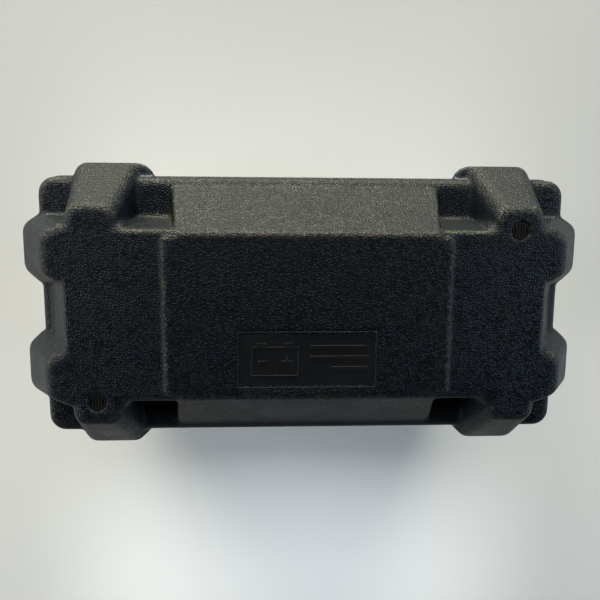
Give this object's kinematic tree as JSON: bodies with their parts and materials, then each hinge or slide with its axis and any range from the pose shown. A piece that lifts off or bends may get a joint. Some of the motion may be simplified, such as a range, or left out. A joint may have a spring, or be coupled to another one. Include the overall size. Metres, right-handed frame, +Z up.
{
  "type": "battery box",
  "caption": "Upright moulded plastic battery box with a deep ribbed hinged lid, hook latches, swing handles and slatted vents.",
  "frame": {"origin": "on the floor under the middle of the box", "axes": "+X along the long side, +Y towards the hinges, +Z up out of the lid"},
  "size_m": [0.5, 0.2548, 0.299],
  "materials": {
    "shell_plastic": "leather-grained matte moulded plastic",
    "liner_plastic": "smooth satin moulded plastic",
    "trim_plastic": "fine satin plastic",
    "rubber": "matte rubber",
    "black_steel": "black powder coat on steel",
    "screw_steel": "zinc-plated steel"
  },
  "bodies": {
    "base": {"base_outer_shell": "shell_plastic", "base_inner_liner": "liner_plastic", "lid_gasket": "rubber", "battery_mat": "rubber", "bay_divider": "liner_plastic", "drain_plug": "trim_plastic", "handle_screws": "screw_steel", "hinge_screws": "screw_steel", "latch_screws": "screw_steel", "hinge_leaf_base_left": "black_steel", "hinge_pin_left": "screw_steel", "latch_plate_left": "trim_plastic", "latch_pivot_left": "screw_steel", "handle_bracket_left": "black_steel", "hinge_leaf_base_right": "black_steel", "hinge_pin_right": "screw_steel", "latch_plate_right": "trim_plastic", "latch_pivot_right": "screw_steel", "handle_bracket_right": "black_steel", "foot_front_left": "rubber", "foot_front_right": "rubber", "foot_rear_left": "rubber", "foot_rear_right": "rubber", "cable_grommet_front": "rubber", "cable_grommet_rear": "rubber"},
    "lid": {"lid_outer_shell": "shell_plastic", "lid_inner_liner": "liner_plastic", "liner_screws": "screw_steel", "vent_plug_left": "trim_plastic", "hinge_leaf_lid_left": "black_steel", "latch_keeper_left": "black_steel", "latch_peg_left": "screw_steel", "vent_plug_right": "trim_plastic", "hinge_leaf_lid_right": "black_steel", "latch_keeper_right": "black_steel", "latch_peg_right": "screw_steel"},
    "latch_left": {"latch_hook_left": "black_steel"},
    "latch_right": {"latch_hook_right": "black_steel"},
    "handle_left": {"handle_bail_left": "black_steel", "handle_grip_left": "trim_plastic"},
    "handle_right": {"handle_bail_right": "black_steel", "handle_grip_right": "trim_plastic"}
  },
  "joints": [
    {"name": "lid_hinge", "type": "hinge", "parent": "base", "child": "lid", "pos_m": [0, 0.1219, 0.2257], "axis": [-1, 0, 0], "range_deg": [0, 105]},
    {"name": "latch_left_turn", "type": "hinge", "parent": "base", "child": "latch_left", "pos_m": [-0.175, -0.1212, 0.186], "axis": [0, -1, 0], "range_deg": [0, 90]},
    {"name": "latch_right_turn", "type": "hinge", "parent": "base", "child": "latch_right", "pos_m": [0.175, -0.1212, 0.186], "axis": [0, 1, 0], "range_deg": [0, 90]},
    {"name": "handle_left_swing", "type": "hinge", "parent": "base", "child": "handle_left", "pos_m": [-0.2275, 0, 0.187], "axis": [0, 1, 0], "range_deg": [0, 100]},
    {"name": "handle_right_swing", "type": "hinge", "parent": "base", "child": "handle_right", "pos_m": [0.2275, 0, 0.187], "axis": [0, -1, 0], "range_deg": [0, 100]}
  ]
}
